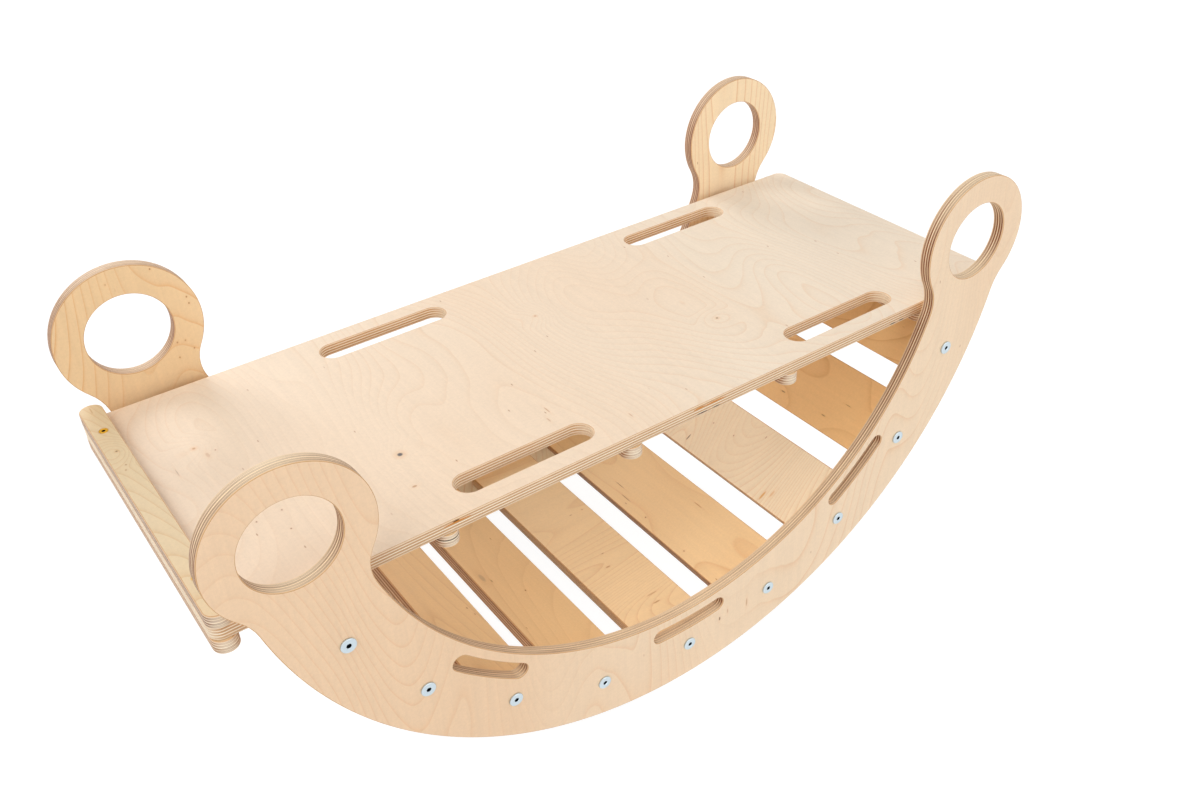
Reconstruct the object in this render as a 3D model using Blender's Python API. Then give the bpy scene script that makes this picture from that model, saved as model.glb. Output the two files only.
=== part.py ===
"""Toddler climbing rocker in laser-cut birch plywood.

Two crescent side panels stand on their round edge, with a ring at each tip.
Nine slats bolt between them and make the climbing curve. A loose board with
battens lies across the open top, resting on the two end slats.

The frame is +X along the rocker, +Y away from the near panel and +Z up, with the
origin on the floor under the middle of the rocker. Lengths are in metres.
"""

import math

import bmesh
import bpy
from mathutils import Matrix, Vector

# Side panels
PANEL_THICKNESS = 0.012
INNER_WIDTH = 0.336
ROCKER_RADIUS = 0.400
BAND_DEPTH = 0.0862
RING_TURN_DEG = 83.48
RING_INSET = 0.0477
RING_RADIUS = 0.065
RING_HOLE_RADIUS = 0.0385
NECK_FILLET_INSIDE = 0.040
NECK_FILLET_OUTSIDE = 0.050
SLOT_INSET = 0.0172
SLOT_WIDTH = 0.0155
SLOT_LENGTH = 0.085
SLOT_PITCH_DEG = 40.4

# Slats, counted along the arc from the left
SLAT_COUNT = 9
SLAT_PITCH_DEG = 16.33
SLAT_INSET = 0.040
SLAT_WIDTH = 0.076
SLAT_THICKNESS = 0.012

# Connector bolts, and the barrel nuts that they screw into
BOLT_HEAD_RADIUS = 0.0066
BOLT_HEAD_HEIGHT = 0.0015
BOLT_HEAD_CHAMFER = 0.0004
BOLT_SHANK_RADIUS = 0.003
BOLT_LENGTH = 0.060
BOLT_SOCKET_ACROSS = 0.004
BOLT_SOCKET_DEPTH = 0.0035
BOLT_TIP_ROOM = 0.002
BOLT_CLEARANCE = 0.0005
NUT_RADIUS = 0.005
NUT_LENGTH = 0.009
NUT_SETBACK = 0.035
NUT_CLEARANCE = 0.0003

# Loose board with four grip slots, its top batten and the cleats under it
BOARD_LENGTH = 0.829
BOARD_SIDE_GAP = 0.010
BOARD_THICKNESS = 0.012
BOARD_SHIFT = 0.0015
BOARD_CORNER = 0.010
GRIP_LENGTH = 0.133
GRIP_WIDTH = 0.0265
GRIP_EDGE_DISTANCE = 0.032
GRIP_BAYS = (1.5, 3.5)
BATTEN_OVERHANG = 0.002
BATTEN_WIDTH = 0.020
BATTEN_THICKNESS = 0.012
CLEAT_COUNT = 5
CLEAT_STOP_GAP = 0.0105

# Countersunk screws through the top batten and the board into the first cleat
SCREW_END_DISTANCE = 0.0473
SCREW_HEAD_RADIUS = 0.0038
SCREW_HEAD_HEIGHT = 0.0026
SCREW_SHANK_RADIUS = 0.002
SCREW_POINT_RADIUS = 0.0008
SCREW_POINT_LENGTH = 0.004
SCREW_LENGTH = 0.032
SCREW_SOCKET_ACROSS = 0.003
SCREW_SOCKET_DEPTH = 0.002
SCREW_CLEARANCE = 0.0003

# Gap kept between faces that touch on the real object
SEAT_GAP = 0.0003

# How finely curves are drawn
LONG_ARC_STEP = math.radians(3.5)
RING_STEP = math.radians(10)
SMALL_ARC_STEP = math.radians(20)
TURNED_SIDES = 12
CUT_MARGIN = 0.001

PALE_BIRCH = (0.79, 0.66, 0.50)
GOLDEN_BIRCH = (0.74, 0.57, 0.38)
CREAM_BIRCH = (0.84, 0.74, 0.58)
WHITE_ZINC = (0.72, 0.74, 0.77)
PLAIN_STEEL = (0.55, 0.55, 0.54)
YELLOW_ZINC = (0.78, 0.63, 0.26)

DOWN = -math.pi / 2
arc_centre = (0, ROCKER_RADIUS)
ring_turn = math.radians(RING_TURN_DEG)
band_inner_radius = ROCKER_RADIUS - BAND_DEPTH
slat_circle = ROCKER_RADIUS - SLAT_INSET
slat_length = INNER_WIDTH - 2 * SEAT_GAP
slat_angles = [
    math.radians(SLAT_PITCH_DEG) * (index - (SLAT_COUNT - 1) / 2) for index in range(SLAT_COUNT)
]
head_seat = INNER_WIDTH / 2 + PANEL_THICKNESS + SEAT_GAP
bolt_tip = head_seat - BOLT_LENGTH
board_width = INNER_WIDTH - 2 * BOARD_SIDE_GAP
batten_length = board_width + 2 * BATTEN_OVERHANG


def arc(centre, radius, start, end, step, ends=True):
    """Points of an arc from one angle to another, in equal sides no longer than the step."""
    sides = max(1, math.ceil(abs(end - start) / step - 1e-6))
    turns = range(sides + 1) if ends else range(1, sides)
    angles = [start + (end - start) * turn / sides for turn in turns]
    return [(centre[0] + radius * math.cos(a), centre[1] + radius * math.sin(a)) for a in angles]


def heading(start, end):
    """Angle of the line from one point to another."""
    return math.atan2(end[1] - start[1], end[0] - start[0])


def unwound(start, end, clockwise):
    """The end angle, reached from the start by turning one way for less than a full turn."""
    turn = (end - start) % (2 * math.pi)
    return start + turn - (2 * math.pi if clockwise else 0)


def lower_meeting(first, first_radius, second, second_radius):
    """Lower crossing of two circles, the first of them on the left."""
    apart = math.dist(first, second)
    along = (first_radius**2 - second_radius**2 + apart**2) / (2 * apart)
    across = math.sqrt(first_radius**2 - along**2)
    turn = heading(first, second)
    x = first[0] + along * math.cos(turn) + across * math.sin(turn)
    z = first[1] + along * math.sin(turn) - across * math.cos(turn)
    return x, z


def on_arc(radius, angle):
    """Point at a distance and an angle from the rocker's arc centre."""
    return radius * math.cos(angle), arc_centre[1] + radius * math.sin(angle)


def circle(centre, radius, step):
    return arc(centre, radius, 0, 2 * math.pi, step)[:-1]


def stadium(length, width, centre=(0, 0)):
    """Bar or slot along X with full-round ends."""
    radius = width / 2
    reach = length / 2 - radius
    x, y = centre
    right = arc((x + reach, y), radius, DOWN, -DOWN, SMALL_ARC_STEP)
    left = arc((x - reach, y), radius, -DOWN, -3 * DOWN, SMALL_ARC_STEP)
    return right + left


def panel_outline():
    """Crescent band with a ring at each tip, the two joined by fillets."""
    ring = on_arc(ROCKER_RADIUS - RING_INSET, DOWN + ring_turn)
    outside = lower_meeting(
        arc_centre,
        ROCKER_RADIUS + NECK_FILLET_OUTSIDE,
        ring,
        RING_RADIUS + NECK_FILLET_OUTSIDE,
    )
    inside = lower_meeting(
        arc_centre,
        band_inner_radius - NECK_FILLET_INSIDE,
        ring,
        RING_RADIUS + NECK_FILLET_INSIDE,
    )
    # An odd number of sides lays one flat on the floor. Each side touches the true arc.
    reach = heading(arc_centre, outside) - DOWN
    half_side = reach / (2 * math.ceil(reach / LONG_ARC_STEP) + 1)
    side_radius = ROCKER_RADIUS / math.cos(half_side)
    half = arc(arc_centre, side_radius, DOWN + half_side, DOWN + reach, 2 * half_side)

    start = heading(outside, arc_centre)
    end = unwound(start, heading(outside, ring), clockwise=True)
    half += arc(outside, NECK_FILLET_OUTSIDE, start, end, SMALL_ARC_STEP / 2, ends=False)

    start = heading(ring, outside)
    end = unwound(start, heading(ring, inside), clockwise=False)
    half += arc(ring, RING_RADIUS, start, end, RING_STEP)

    start = heading(inside, ring)
    end = unwound(start, heading(arc_centre, inside), clockwise=True)
    half += arc(inside, NECK_FILLET_INSIDE, start, end, SMALL_ARC_STEP / 2, ends=False)

    half += arc(arc_centre, band_inner_radius, end, DOWN, LONG_ARC_STEP)
    return half + [(-x, z) for x, z in reversed(half[:-1])]


def panel_slot(angle):
    """Slot that follows the band, centred at an angle from straight down."""
    radius = band_inner_radius + SLOT_INSET
    end_radius = SLOT_WIDTH / 2
    half_turn = (SLOT_LENGTH / 2 - end_radius) / radius
    low, high = DOWN + angle - half_turn, DOWN + angle + half_turn
    points = arc(arc_centre, radius + end_radius, low, high, LONG_ARC_STEP, ends=False)
    points += arc(on_arc(radius, high), end_radius, high, high + math.pi, SMALL_ARC_STEP)
    points += arc(arc_centre, radius - end_radius, high, low, LONG_ARC_STEP, ends=False)
    points += arc(on_arc(radius, low), end_radius, low - math.pi, low, SMALL_ARC_STEP)
    return points


def panel_holes():
    ring_centres = [on_arc(ROCKER_RADIUS - RING_INSET, DOWN + side * ring_turn) for side in (-1, 1)]
    holes = [circle(centre, RING_HOLE_RADIUS, RING_STEP) for centre in ring_centres]
    holes += [panel_slot(math.radians(SLOT_PITCH_DEG) * index) for index in (-1, 0, 1)]
    bore = BOLT_SHANK_RADIUS + BOLT_CLEARANCE
    turned_step = 2 * math.pi / TURNED_SIDES
    holes += [circle(on_arc(slat_circle, DOWN + angle), bore, turned_step) for angle in slat_angles]
    return holes


def board_outline():
    """Rectangle with rounded corners."""
    reach_x, reach_y = BOARD_LENGTH / 2 - BOARD_CORNER, board_width / 2 - BOARD_CORNER
    points = []
    for turn, (x, y) in enumerate(((1, -1), (1, 1), (-1, 1), (-1, -1))):
        start = DOWN * (1 - turn)
        points += arc((x * reach_x, y * reach_y), BOARD_CORNER, start, start - DOWN, SMALL_ARC_STEP)
    return points


def finished_mesh(name, build):
    """Closed mesh with its faces pointing out, filled in by a function."""
    work = bmesh.new()
    build(work)
    bmesh.ops.recalc_face_normals(work, faces=work.faces)
    mesh = bpy.data.meshes.new(name)
    work.to_mesh(mesh)
    work.free()
    return shaded(mesh)


def shaded(mesh):
    mesh.shade_smooth()
    mesh.set_sharp_from_angle(angle=math.radians(35))
    return mesh


def sheet_mesh(name, outline, holes, thickness):
    """Flat sheet in the XY plane, cut to an outline with holes."""

    def build(work):
        for points in [outline, *holes]:
            corners = [work.verts.new((x, y, -thickness / 2)) for x, y in points]
            for index, corner in enumerate(corners):
                work.edges.new((corners[index - 1], corner))
        bmesh.ops.triangle_fill(work, edges=work.edges, use_beauty=True)
        raised = bmesh.ops.extrude_face_region(work, geom=work.faces, use_keep_orig=True)
        top = [item for item in raised["geom"] if isinstance(item, bmesh.types.BMVert)]
        bmesh.ops.translate(work, verts=top, vec=(0, 0, thickness))

    return finished_mesh(name, build)


def turned_mesh(name, rings, turn=Matrix()):
    """Solid skinned over rings around Z, closed at both ends, then turned to its place."""

    def build(work):
        loops = [[work.verts.new(turn @ Vector(point)) for point in ring] for ring in rings]
        for lower, upper in zip(loops, loops[1:]):
            for index in range(TURNED_SIDES):
                work.faces.new((lower[index - 1], lower[index], upper[index], upper[index - 1]))
        work.faces.new(loops[0])
        work.faces.new(loops[-1])

    return finished_mesh(name, build)


def round_ring(radius, height):
    angles = [2 * math.pi * index / TURNED_SIDES for index in range(TURNED_SIDES)]
    return [(radius * math.cos(a), radius * math.sin(a), height) for a in angles]


def hex_ring(across, height):
    """Hexagon with as many points as a round ring."""
    ring = []
    for x, y, _ in round_ring(1, 0):
        off_flat = math.atan2(y, x) % (math.pi / 3) - math.pi / 6
        reach = across / 2 / math.cos(off_flat)
        ring.append((reach * x, reach * y, height))
    return ring


def bolt_mesh():
    """Flat-head bolt along Z with a hex socket, its head resting on the XY plane."""
    return turned_mesh(
        "connector_bolt",
        [
            round_ring(BOLT_SHANK_RADIUS, -BOLT_LENGTH),
            round_ring(BOLT_SHANK_RADIUS, 0),
            round_ring(BOLT_HEAD_RADIUS, 0),
            round_ring(BOLT_HEAD_RADIUS, BOLT_HEAD_HEIGHT - BOLT_HEAD_CHAMFER),
            round_ring(BOLT_HEAD_RADIUS - BOLT_HEAD_CHAMFER, BOLT_HEAD_HEIGHT),
            hex_ring(BOLT_SOCKET_ACROSS, BOLT_HEAD_HEIGHT),
            hex_ring(BOLT_SOCKET_ACROSS, BOLT_HEAD_HEIGHT - BOLT_SOCKET_DEPTH),
        ],
    )


def screw_mesh():
    """Countersunk screw along Z with a hex socket, its head flush with the XY plane."""
    return turned_mesh(
        "batten_screw",
        [
            round_ring(SCREW_POINT_RADIUS, -SCREW_LENGTH),
            round_ring(SCREW_SHANK_RADIUS, SCREW_POINT_LENGTH - SCREW_LENGTH),
            round_ring(SCREW_SHANK_RADIUS, -SCREW_HEAD_HEIGHT),
            round_ring(SCREW_HEAD_RADIUS, 0),
            hex_ring(SCREW_SOCKET_ACROSS, 0),
            hex_ring(SCREW_SOCKET_ACROSS, -SCREW_SOCKET_DEPTH),
        ],
    )


def screw_hole_mesh(place):
    """Room for one screw, with its clearance all round."""
    shank = SCREW_SHANK_RADIUS + SCREW_CLEARANCE
    head = SCREW_HEAD_RADIUS + SCREW_CLEARANCE
    return turned_mesh(
        "screw_hole",
        [
            round_ring(shank, -SCREW_LENGTH - SCREW_CLEARANCE),
            round_ring(shank, -SCREW_HEAD_HEIGHT),
            round_ring(head, 0),
            round_ring(head, CUT_MARGIN),
        ],
        Matrix.Translation(place),
    )


def rod_mesh(name, radius, low, high, turn=Matrix()):
    return turned_mesh(name, [round_ring(radius, low), round_ring(radius, high)], turn)


def cut(mesh, cutters):
    """Copy of the mesh with each cutter taken out of it."""
    work = bpy.data.objects.new(mesh.name, mesh)
    helpers = [work]
    for cutter in cutters:
        helper = bpy.data.objects.new(cutter.name, cutter)
        helper.hide_render = True
        helper.display_type = "WIRE"
        helpers.append(helper)
        boolean = work.modifiers.new(cutter.name, "BOOLEAN")
        boolean.operation = "DIFFERENCE"
        boolean.solver = "EXACT"
        boolean.object = helper
    for helper in helpers:
        bpy.context.scene.collection.objects.link(helper)
    graph = bpy.context.evaluated_depsgraph_get()
    result = bpy.data.meshes.new_from_object(work.evaluated_get(graph))
    for helper in helpers:
        bpy.data.objects.remove(helper)
    return shaded(result)


def slat_mesh():
    """Slat along Y, its top face up, with a bore in each end and a nut pocket from below."""

    def build(work):
        bmesh.ops.create_cube(work, size=1)
        size = (SLAT_WIDTH, slat_length, SLAT_THICKNESS)
        bmesh.ops.scale(work, verts=work.verts, vec=size)

    cutters = []
    for side in (-1, 1):
        along = Matrix.Rotation(-side * math.pi / 2, 4, "X")
        bore = BOLT_SHANK_RADIUS + BOLT_CLEARANCE
        low, high = bolt_tip - BOLT_TIP_ROOM, slat_length / 2 + CUT_MARGIN
        cutters.append(rod_mesh("bolt_bore", bore, low, high, along))
        across = Matrix.Translation((0, side * (slat_length / 2 - NUT_SETBACK), 0))
        pocket = NUT_RADIUS + NUT_CLEARANCE
        low, high = -SLAT_THICKNESS / 2 - CUT_MARGIN, NUT_LENGTH / 2 + NUT_CLEARANCE
        cutters.append(rod_mesh("nut_pocket", pocket, low, high, across))
    return cut(finished_mesh("slat", build), cutters)


def nut_mesh():
    """Barrel nut along Z with its bolt hole across it."""
    barrel = rod_mesh("barrel_nut", NUT_RADIUS, -NUT_LENGTH / 2, NUT_LENGTH / 2)
    bore = BOLT_SHANK_RADIUS + NUT_CLEARANCE
    through = NUT_RADIUS + CUT_MARGIN
    along = Matrix.Rotation(math.pi / 2, 4, "X")
    return cut(barrel, [rod_mesh("bolt_hole", bore, -through, through, along)])


def material(name, colour, roughness, metallic=0):
    made = bpy.data.materials.new(name)
    made.use_nodes = True
    made.diffuse_color = (*colour, 1)
    shader = made.node_tree.nodes["Principled BSDF"]
    shader.inputs["Base Color"].default_value = (*colour, 1)
    shader.inputs["Roughness"].default_value = roughness
    shader.inputs["Metallic"].default_value = metallic
    return made


def add(name, mesh, finish, place, rotation=(0, 0, 0), parent=None):
    """One piece of the object, at its place in the rocker's frame."""
    piece = bpy.data.objects.new(name, mesh)
    mesh.materials.clear()
    mesh.materials.append(finish)
    piece.rotation_euler = rotation
    piece.location = Vector(place)
    if parent:
        piece.parent = parent
        piece.location -= parent.location
    bpy.context.scene.collection.objects.link(piece)
    return piece


def add_panels():
    finish = material("panel_birch", PALE_BIRCH, 0.55)
    mesh = sheet_mesh("side_panel", panel_outline(), panel_holes(), PANEL_THICKNESS)
    offset = (INNER_WIDTH + PANEL_THICKNESS) / 2
    for side, name in ((-1, "side_panel_near"), (1, "side_panel_far")):
        add(name, mesh, finish, (0, side * offset, 0), (math.pi / 2, 0, 0))


def add_slats():
    """Slats between the panels, each with two bolts and two barrel nuts."""
    slat, bolt, nut = slat_mesh(), bolt_mesh(), nut_mesh()
    birch = material("slat_birch", GOLDEN_BIRCH, 0.6)
    zinc = material("white_zinc", WHITE_ZINC, 0.3, 1)
    steel = material("plain_steel", PLAIN_STEEL, 0.4, 1)
    for number, angle in enumerate(slat_angles, start=1):
        x, z = on_arc(slat_circle, DOWN + angle)
        lean = (0, -angle, 0)
        add(f"slat_{number}", slat, birch, (x, 0, z), lean)
        for side, end in ((-1, "near"), (1, "far")):
            seat = (x, side * head_seat, z)
            add(f"bolt_{end}_{number}", bolt, zinc, seat, (-side * math.pi / 2, 0, 0))
            pocket = (x, side * (slat_length / 2 - NUT_SETBACK), z)
            add(f"barrel_nut_{end}_{number}", nut, steel, pocket, lean)


def end_slat_corner():
    """Upper inside corner of the right end slat, which the board rests on."""
    angle = slat_angles[-1]
    inner_face, half_width = slat_circle - SLAT_THICKNESS / 2, SLAT_WIDTH / 2
    x = inner_face * math.sin(angle) + half_width * math.cos(angle)
    z = ROCKER_RADIUS - inner_face * math.cos(angle) + half_width * math.sin(angle)
    return x, z


def add_board():
    """Loose board, lifted off straight up, with its battens and screws."""
    corner_x, corner_z = end_slat_corner()
    underside = corner_z + SEAT_GAP
    board_z = underside + BOARD_THICKNESS / 2
    cleat_z = underside - SEAT_GAP - BATTEN_THICKNESS / 2
    batten_z = underside + BOARD_THICKNESS + SEAT_GAP + BATTEN_THICKNESS / 2
    batten_top = batten_z + BATTEN_THICKNESS / 2
    batten_x = BOARD_SHIFT - BOARD_LENGTH / 2 + BATTEN_WIDTH / 2
    last_cleat_x = corner_x - CLEAT_STOP_GAP - BATTEN_WIDTH / 2
    pitch = (last_cleat_x - batten_x) / (CLEAT_COUNT - 1)

    lift = bpy.data.objects.new("board_lift", None)
    lift.location = (BOARD_SHIFT, 0, underside)
    bpy.context.scene.collection.objects.link(lift)
    cream = material("board_birch", CREAM_BIRCH, 0.5)
    edge = material("batten_birch", PALE_BIRCH, 0.55)

    grip_y = board_width / 2 - GRIP_EDGE_DISTANCE
    grips = [
        stadium(GRIP_LENGTH, GRIP_WIDTH, (batten_x + bay * pitch - BOARD_SHIFT, side * grip_y))
        for bay in GRIP_BAYS
        for side in (-1, 1)
    ]
    screw_y = batten_length / 2 - SCREW_END_DISTANCE
    screws = [(batten_x, side * screw_y, batten_top) for side in (-1, 1)]

    def screwed(mesh, place):
        return cut(mesh, [screw_hole_mesh(Vector(screw) - Vector(place)) for screw in screws])

    board_place = (BOARD_SHIFT, 0, board_z)
    board = sheet_mesh("board", board_outline(), grips, BOARD_THICKNESS)
    add("board", screwed(board, board_place), cream, board_place, parent=lift)

    bar_outline = [(-y, x) for x, y in stadium(batten_length, BATTEN_WIDTH)]
    bar = sheet_mesh("bar", bar_outline, [], BATTEN_THICKNESS)
    batten_place = (batten_x, 0, batten_z)
    add("board_top_batten", screwed(bar, batten_place), edge, batten_place, parent=lift)
    for index in range(CLEAT_COUNT):
        place = (batten_x + index * pitch, 0, cleat_z)
        mesh = bar if index else screwed(bar, place)
        add(f"board_cleat_{index + 1}", mesh, edge, place, parent=lift)

    yellow = material("yellow_zinc", YELLOW_ZINC, 0.35, 1)
    screw = screw_mesh()
    for place, end in zip(screws, ("near", "far")):
        add(f"batten_screw_{end}", screw, yellow, place, parent=lift)


def main():
    for thing in list(bpy.data.objects):
        bpy.data.objects.remove(thing)
    add_panels()
    add_slats()
    add_board()


main()
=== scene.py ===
# %% [markdown]
# # A toddler climbing rocker in birch plywood
#
# The rocker is cut from flat sheets. Two crescent panels stand on their round
# edge, nine slats bolt between them, and a loose board lies across the open top.
# This lesson makes each piece again with finer edges than the solid model has,
# then gives it the wood or metal finish of the real one. It starts by loading
# the solid model, because that frame says where every piece goes.

import math

import bmesh
import bpy
from mathutils import Matrix, Vector


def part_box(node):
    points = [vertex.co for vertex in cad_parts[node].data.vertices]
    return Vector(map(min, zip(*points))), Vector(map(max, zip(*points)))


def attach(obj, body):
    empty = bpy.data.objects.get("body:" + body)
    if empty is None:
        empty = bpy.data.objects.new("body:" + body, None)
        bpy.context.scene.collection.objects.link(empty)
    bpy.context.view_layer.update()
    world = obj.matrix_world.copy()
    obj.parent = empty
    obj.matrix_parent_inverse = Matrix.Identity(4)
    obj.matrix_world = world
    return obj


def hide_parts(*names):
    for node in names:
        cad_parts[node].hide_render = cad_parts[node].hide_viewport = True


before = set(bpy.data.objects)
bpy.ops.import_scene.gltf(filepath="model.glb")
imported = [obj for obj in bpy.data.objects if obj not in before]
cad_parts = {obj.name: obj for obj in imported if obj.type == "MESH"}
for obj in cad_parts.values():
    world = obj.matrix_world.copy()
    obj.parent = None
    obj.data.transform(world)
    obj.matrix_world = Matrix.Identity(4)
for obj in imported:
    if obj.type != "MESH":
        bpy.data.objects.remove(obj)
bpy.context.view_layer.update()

# %% [markdown]
# ## Drawing on the sheet
#
# A router or a laser cuts each plywood piece along a flat line drawing. Blender
# has no drawing board of that kind, so a few helpers turn arcs and lines into
# lists of points. Curves could be used too, but points give control over how
# fine each arc is, and the same drawing then makes the face, the edge and the
# small rounding between them.

# %% Arcs, circles and slots
DOWN = -math.pi / 2
FINE = math.radians(1.2)
SMALL = math.radians(7.5)
SAME_PLACE = 1e-6


def arc(centre, radius, start, end, step):
    """Points of an arc, in equal steps."""
    sides = max(1, math.ceil(abs(end - start) / step))
    angles = [start + (end - start) * side / sides for side in range(sides + 1)]
    return [(centre[0] + radius * math.cos(a), centre[1] + radius * math.sin(a)) for a in angles]


def circle(centre, radius, step=SMALL):
    return arc(centre, radius, 0, 2 * math.pi, step)[:-1]


def without_repeats(points):
    """The same points, without one that lies on the point before it."""
    before = points[-1:] + points[:-1]
    return [point for point, last in zip(points, before) if math.dist(point, last) > SAME_PLACE]


def rounded_bar(length, width, corner, centre=(0, 0)):
    """Rectangle with rounded corners. A corner of half the width makes the ends full round."""
    points = []
    for turn, (x, y) in enumerate(((1, -1), (1, 1), (-1, 1), (-1, -1))):
        place = (centre[0] + x * (length / 2 - corner), centre[1] + y * (width / 2 - corner))
        start = DOWN * (1 - turn)
        points += arc(place, corner, start, start - DOWN, SMALL)
    return without_repeats(points)


print("A 20 mm bar with full-round ends:", len(rounded_bar(0.32, 0.02, 0.01)), "points")

# %% [markdown]
# ## Plywood cut from a sheet
#
# Every wooden piece here is one thickness of plywood with a sanded edge. One
# function makes them all. It repeats the drawing at a few heights, each a little
# further in near the faces, and skins the heights together, which leaves a small
# rounding where the sander went round. A Bevel modifier could do this, but it
# stumbles where a slot has many short sides. The flat faces get the first
# material and the cut edges get the second, because the edge shows the plies.

# %% One thickness of plywood
FACE, EDGE = 0, 1
SHARPEST_LEAN = 0.4


def area(points):
    """Signed area of a drawing, above zero when it runs anticlockwise."""
    return sum(a[0] * b[1] - b[0] * a[1] for a, b in zip(points, points[1:] + points[:1])) / 2


def moved_in(points, distance):
    """The drawing moved to its left, which is into the wood."""
    moved = []
    for before, here, after in zip(points[-1:] + points[:-1], points, points[1:] + points[:1]):
        arriving = (Vector(here) - Vector(before)).normalized()
        leaving = (Vector(after) - Vector(here)).normalized()
        left = Vector((-(arriving.y + leaving.y), arriving.x + leaving.x)).normalized()
        reach = distance / max(SHARPEST_LEAN, left.dot(Vector((-leaving.y, leaving.x))))
        moved.append((here[0] + left.x * reach, here[1] + left.y * reach))
    return moved


def plywood(name, outline, holes, thickness, rounding):
    """Flat piece in the XY plane with its thickness along Z, and rounded rims."""
    work = bmesh.new()
    half = thickness / 2
    slack = rounding * (1 - math.cos(math.pi / 4))
    heights = [(rounding, -half), (slack, slack - half), (0, rounding - half)]
    heights += [(inward, -height) for inward, height in reversed(heights)]
    face_edges = {0: [], len(heights) - 1: []}
    drawings = [outline if area(outline) > 0 else outline[::-1]]
    drawings += [hole if area(hole) < 0 else hole[::-1] for hole in holes]
    for drawing in drawings:
        loops = []
        for inward, height in heights:
            loops.append([work.verts.new((x, y, height)) for x, y in moved_in(drawing, inward)])
        for lower, upper in zip(loops, loops[1:]):
            for index in range(len(drawing)):
                side = work.faces.new((lower[index - 1], lower[index], upper[index], upper[index - 1]))
                side.material_index = EDGE
        for level, edges in face_edges.items():
            loop = loops[level]
            edges += [work.edges.get((loop[index - 1], loop[index])) for index in range(len(loop))]
    for edges in face_edges.values():
        bmesh.ops.triangle_fill(work, edges=edges, use_beauty=True)
    bmesh.ops.recalc_face_normals(work, faces=work.faces)
    mesh = bpy.data.meshes.new(name)
    work.to_mesh(mesh)
    work.free()
    return mesh


def shaded(mesh, angle=40):
    """Smooth along the curves, with crisp lines where a face meets its rim."""
    mesh.shade_smooth()
    mesh.set_sharp_from_angle(angle=math.radians(angle))
    work = bmesh.new()
    work.from_mesh(mesh)
    for edge in work.edges:
        finishes = {face.material_index for face in edge.link_faces}
        if len(finishes) > 1:
            edge.smooth = False
    work.to_mesh(mesh)
    work.free()
    return mesh


print("Finish slots: face", FACE, "and edge", EDGE)

# %% [markdown]
# ## Turned pieces and drilled holes
#
# Bolts, nuts and screws are turned on a lathe, so their meshes are rings skinned
# from one end to the other. The hexagon socket is a ring too, with the same
# number of points as the round ones. The Screw modifier could spin a profile,
# but it can't go from round to six-sided. Holes that meet other holes, such as
# a bolt bore and a nut pocket, are cut with a Boolean, as a drill would.

# %% Rings, rods and cuts
SIDES = 48


def round_ring(radius, height):
    angles = [2 * math.pi * side / SIDES for side in range(SIDES)]
    return [(radius * math.cos(a), radius * math.sin(a), height) for a in angles]


def hexagon_ring(across, height):
    """Six flat sides with as many points as a round ring."""
    ring = []
    for x, y, _ in round_ring(1, 0):
        off_flat = math.atan2(y, x) % (math.pi / 3) - math.pi / 6
        reach = across / 2 / math.cos(off_flat)
        ring.append((reach * x, reach * y, height))
    return ring


def turned(name, rings, turn=Matrix(), finish=0):
    """Solid skinned over rings around Z, then turned to its place."""
    work = bmesh.new()
    loops = [[work.verts.new(turn @ Vector(point)) for point in ring] for ring in rings]
    for lower, upper in zip(loops, loops[1:]):
        for side in range(SIDES):
            work.faces.new((lower[side - 1], lower[side], upper[side], upper[side - 1]))
    work.faces.new(loops[0])
    work.faces.new(loops[-1])
    for face in work.faces:
        face.material_index = finish
    bmesh.ops.recalc_face_normals(work, faces=work.faces)
    mesh = bpy.data.meshes.new(name)
    work.to_mesh(mesh)
    work.free()
    return mesh


def rod(radius, low, high, turn=Matrix(), finish=EDGE):
    return turned("rod", [round_ring(radius, low), round_ring(radius, high)], turn, finish)


def drilled(mesh, cutters):
    """Copy of the mesh with each cutter taken out of it."""
    work = bpy.data.objects.new(mesh.name, mesh)
    helpers = [work]
    while len(mesh.materials) < 2:
        mesh.materials.append(None)
    for cutter in cutters:
        helper = bpy.data.objects.new("cutter", cutter)
        helpers.append(helper)
        boolean = work.modifiers.new("drill", "BOOLEAN")
        boolean.operation = "DIFFERENCE"
        boolean.solver = "EXACT"
        boolean.object = helper
    for helper in helpers:
        bpy.context.scene.collection.objects.link(helper)
    graph = bpy.context.evaluated_depsgraph_get()
    result = bpy.data.meshes.new_from_object(work.evaluated_get(graph))
    for helper in helpers:
        bpy.data.objects.remove(helper)
    return result


print("A turned piece has", SIDES, "sides")

# %% [markdown]
# ## Writing a finish as sums
#
# A finish in Blender is a web of nodes. Placing dozens of them by hand in code
# is hard to read, so this small class lets a finish be written like sums on
# paper: each call adds one node and returns its result for the next call.

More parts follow.
